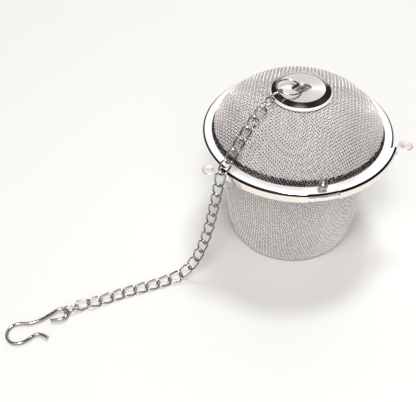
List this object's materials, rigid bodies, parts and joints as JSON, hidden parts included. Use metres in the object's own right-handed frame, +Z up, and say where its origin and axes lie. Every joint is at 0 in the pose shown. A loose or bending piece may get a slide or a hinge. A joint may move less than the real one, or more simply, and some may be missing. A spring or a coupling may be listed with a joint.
{
  "type": "tea infuser",
  "caption": "Covered mesh tea infuser: tapered woven basket, domed mesh lid with a polished cap, a turning lock band on the rim, and a hook on a twisted-link chain.",
  "frame": {"origin": "centre of the basket's flat bottom, on the surface it stands on", "axes": "+Z up through the cap; -Y to the front, where the stop ball and the lock band's window are; the chain comes down on the -X side"},
  "size_m": [0.1542, 0.0791, 0.0699],
  "materials": {
    "woven_cloth": "woven wire cloth",
    "folded_rim": "bright rolled sheet",
    "lock_band": "bright rolled sheet",
    "polished_cap": "mirror polished",
    "bright_wire": "bright drawn wire",
    "chain_wire": "bright drawn wire, slightly warm"
  },
  "bodies": {
    "basket": {"basket_mesh": "woven_cloth", "basket_rim": "folded_rim"},
    "lid": {"lid_mesh": "woven_cloth", "lid_rim": "folded_rim", "lid_cap": "polished_cap", "cap_backing": "folded_rim", "stop_ball": "polished_cap"},
    "lock_band": {"lock_band": "lock_band", "finger_tab_left": "lock_band", "finger_tab_right": "lock_band"},
    "cap_ring": {"cap_ring": "bright_wire"},
    "link_01": {"link_01": "chain_wire"},
    "link_02": {"link_02": "chain_wire"},
    "link_03": {"link_03": "chain_wire"},
    "link_04": {"link_04": "chain_wire"},
    "link_05": {"link_05": "chain_wire"},
    "link_06": {"link_06": "chain_wire"},
    "link_07": {"link_07": "chain_wire"},
    "link_08": {"link_08": "chain_wire"},
    "link_09": {"link_09": "chain_wire"},
    "link_10": {"link_10": "chain_wire"},
    "link_11": {"link_11": "chain_wire"},
    "link_12": {"link_12": "chain_wire"},
    "link_13": {"link_13": "chain_wire"},
    "link_14": {"link_14": "chain_wire"},
    "link_15": {"link_15": "chain_wire"},
    "link_16": {"link_16": "chain_wire"},
    "link_17": {"link_17": "chain_wire"},
    "link_18": {"link_18": "chain_wire"},
    "link_19": {"link_19": "chain_wire"},
    "link_20": {"link_20": "chain_wire"},
    "link_21": {"link_21": "chain_wire"},
    "link_22": {"link_22": "chain_wire"},
    "link_23": {"link_23": "chain_wire"},
    "link_24": {"link_24": "chain_wire"},
    "link_25": {"link_25": "chain_wire"},
    "link_26": {"link_26": "chain_wire"},
    "link_27": {"link_27": "chain_wire"},
    "link_28": {"link_28": "chain_wire"},
    "link_29": {"link_29": "chain_wire"},
    "hook": {"hook": "bright_wire"}
  },
  "joints": [
    {"name": "lid_lift", "type": "slide", "parent": "basket", "child": "lid", "axis": [0, 0, 1], "range_m": [0, 0.06]},
    {"name": "band_turn", "type": "hinge", "parent": "lid", "child": "lock_band", "pos_m": [0, 0, 0.0474], "axis": [0, 0, 1], "range_deg": [-6.5, 0]},
    {"name": "ring_lift", "type": "hinge", "parent": "lid", "child": "cap_ring", "pos_m": [-0.0003, -0.0003, 0.0677], "axis": [0, 1, 0], "range_deg": [0, 40]},
    {"name": "link_01_lift", "type": "hinge", "parent": "cap_ring", "child": "link_01", "pos_m": [-0.00835, -0.0023, 0.06875], "axis": [-0.5546, 0.8321, 0], "range_deg": [0, 8]},
    {"name": "link_02_lift", "type": "hinge", "parent": "link_01", "child": "link_02", "pos_m": [-0.01202, -0.00474, 0.06754], "axis": [-0.5587, 0.8294, 0], "range_deg": [0, 8]},
    {"name": "link_03_lift", "type": "hinge", "parent": "link_02", "child": "link_03", "pos_m": [-0.01542, -0.00704, 0.06554], "axis": [-0.582, 0.8132, 0], "range_deg": [0, 8]},
    {"name": "link_04_lift", "type": "hinge", "parent": "link_03", "child": "link_04", "pos_m": [-0.01871, -0.00939, 0.06341], "axis": [-0.5833, 0.8122, 0], "range_deg": [0, 8]},
    {"name": "link_05_lift", "type": "hinge", "parent": "link_04", "child": "link_05", "pos_m": [-0.02177, -0.01159, 0.06081], "axis": [-0.5893, 0.8079, 0], "range_deg": [0, 8]},
    {"name": "link_06_lift", "type": "hinge", "parent": "link_05", "child": "link_06", "pos_m": [-0.02459, -0.01364, 0.05786], "axis": [-0.6038, 0.7971, 0], "range_deg": [0, 8]},
    {"name": "link_07_lift", "type": "hinge", "parent": "link_06", "child": "link_07", "pos_m": [-0.02734, -0.01573, 0.05487], "axis": [-0.6206, 0.7842, 0], "range_deg": [0, 8]},
    {"name": "link_08_lift", "type": "hinge", "parent": "link_07", "child": "link_08", "pos_m": [-0.03029, -0.01806, 0.05227], "axis": [-0.658, 0.753, 0], "range_deg": [0, 8]},
    {"name": "link_09_lift", "type": "hinge", "parent": "link_08", "child": "link_09", "pos_m": [-0.03288, -0.02032, 0.04926], "axis": [-0.685, 0.7286, 0], "range_deg": [0, 8]},
    {"name": "link_10_lift", "type": "hinge", "parent": "link_09", "child": "link_10", "pos_m": [-0.03405, -0.02143, 0.04498], "axis": [-0.4559, 0.8901, 0], "range_deg": [0, 6]},
    {"name": "link_11_side", "type": "hinge", "parent": "link_10", "child": "link_11", "pos_m": [-0.03476, -0.02179, 0.04048], "axis": [0.9524, 0.2379, -0.1908], "range_deg": [0, 6]},
    {"name": "link_12_lift", "type": "hinge", "parent": "link_11", "child": "link_12", "pos_m": [-0.0356, -0.022, 0.036], "axis": [-0.2119, 0.9773, 0], "range_deg": [0, 6]},
    {"name": "link_13_side", "type": "hinge", "parent": "link_12", "child": "link_13", "pos_m": [-0.03642, -0.02218, 0.0315], "axis": [-0.9647, -0.1732, 0.1986], "range_deg": [0, 6]},
    {"name": "link_14_lift", "type": "hinge", "parent": "link_13", "child": "link_14", "pos_m": [-0.03731, -0.02234, 0.02702], "axis": [-0.1681, 0.9858, 0], "range_deg": [0, 6]},
    {"name": "link_15_side", "type": "hinge", "parent": "link_14", "child": "link_15", "pos_m": [-0.03832, -0.02251, 0.02257], "axis": [-0.9575, -0.1107, 0.2663], "range_deg": [0, 6]},
    {"name": "link_16_lift", "type": "hinge", "parent": "link_15", "child": "link_16", "pos_m": [-0.03953, -0.02265, 0.01817], "axis": [-0.0708, 0.9975, 0], "range_deg": [0, 6]},
    {"name": "link_17_side", "type": "hinge", "parent": "link_16", "child": "link_17", "pos_m": [-0.04096, -0.02275, 0.01383], "axis": [-0.9119, -0.0923, 0.3998], "range_deg": [0, 6]},
    {"name": "link_18_lift", "type": "hinge", "parent": "link_17", "child": "link_18", "pos_m": [-0.04278, -0.02294, 0.00964], "axis": [-0.119, 0.9929, 0], "range_deg": [0, 6]},
    {"name": "link_19_lift", "type": "hinge", "parent": "link_18", "child": "link_19", "pos_m": [-0.0452, -0.02322, 0.00577], "axis": [-0.132, 0.9913, 0], "range_deg": [0, 6]},
    {"name": "link_20_lift", "type": "hinge", "parent": "link_19", "child": "link_20", "pos_m": [-0.04872, -0.02369, 0.00289], "axis": [-0.1308, 0.9914, 0], "range_deg": [0, 6]},
    {"name": "link_21_lift", "type": "hinge", "parent": "link_20", "child": "link_21", "pos_m": [-0.05307, -0.02427, 0.00164], "axis": [-0.1667, 0.986, 0], "range_deg": [0, 5]},
    {"name": "link_22_yaw", "type": "hinge", "parent": "link_21", "child": "link_22", "pos_m": [-0.05756, -0.02503, 0.00125], "axis": [-0.0129, -0.0024, 0.9999], "range_deg": [-10, 10]},
    {"name": "link_23_lift", "type": "hinge", "parent": "link_22", "child": "link_23", "pos_m": [-0.06205, -0.02586, 0.00119], "axis": [-0.1386, 0.9904, 0], "range_deg": [0, 5]},
    {"name": "link_24_yaw", "type": "hinge", "parent": "link_23", "child": "link_24", "pos_m": [-0.06658, -0.0265, 0.0012], "axis": [0, 0, -1], "range_deg": [-10, 10]},
    {"name": "link_25_lift", "type": "hinge", "parent": "link_24", "child": "link_25", "pos_m": [-0.07107, -0.02737, 0.0012], "axis": [-0.2492, 0.9685, 0], "range_deg": [0, 5]},
    {"name": "link_26_yaw", "type": "hinge", "parent": "link_25", "child": "link_26", "pos_m": [-0.07549, -0.02851, 0.00119], "axis": [0.0172, 0.0041, 0.9998], "range_deg": [-10, 10]},
    {"name": "link_27_lift", "type": "hinge", "parent": "link_26", "child": "link_27", "pos_m": [-0.07994, -0.02956, 0.00127], "axis": [-0.2047, 0.9788, 0], "range_deg": [0, 5]},
    {"name": "link_28_yaw", "type": "hinge", "parent": "link_27", "child": "link_28", "pos_m": [-0.08439, -0.03049, 0.00177], "axis": [-0.1207, -0.0299, -0.9922], "range_deg": [-10, 10]},
    {"name": "link_29_lift", "type": "hinge", "parent": "link_28", "child": "link_29", "pos_m": [-0.08879, -0.03158, 0.00233], "axis": [-0.3198, 0.9475, 0], "range_deg": [0, 5]},
    {"name": "hook_yaw", "type": "hinge", "parent": "link_29", "child": "hook", "pos_m": [-0.09312, -0.03304, 0.00239], "axis": [0, 0, 1], "range_deg": [-12, 12]}
  ]
}
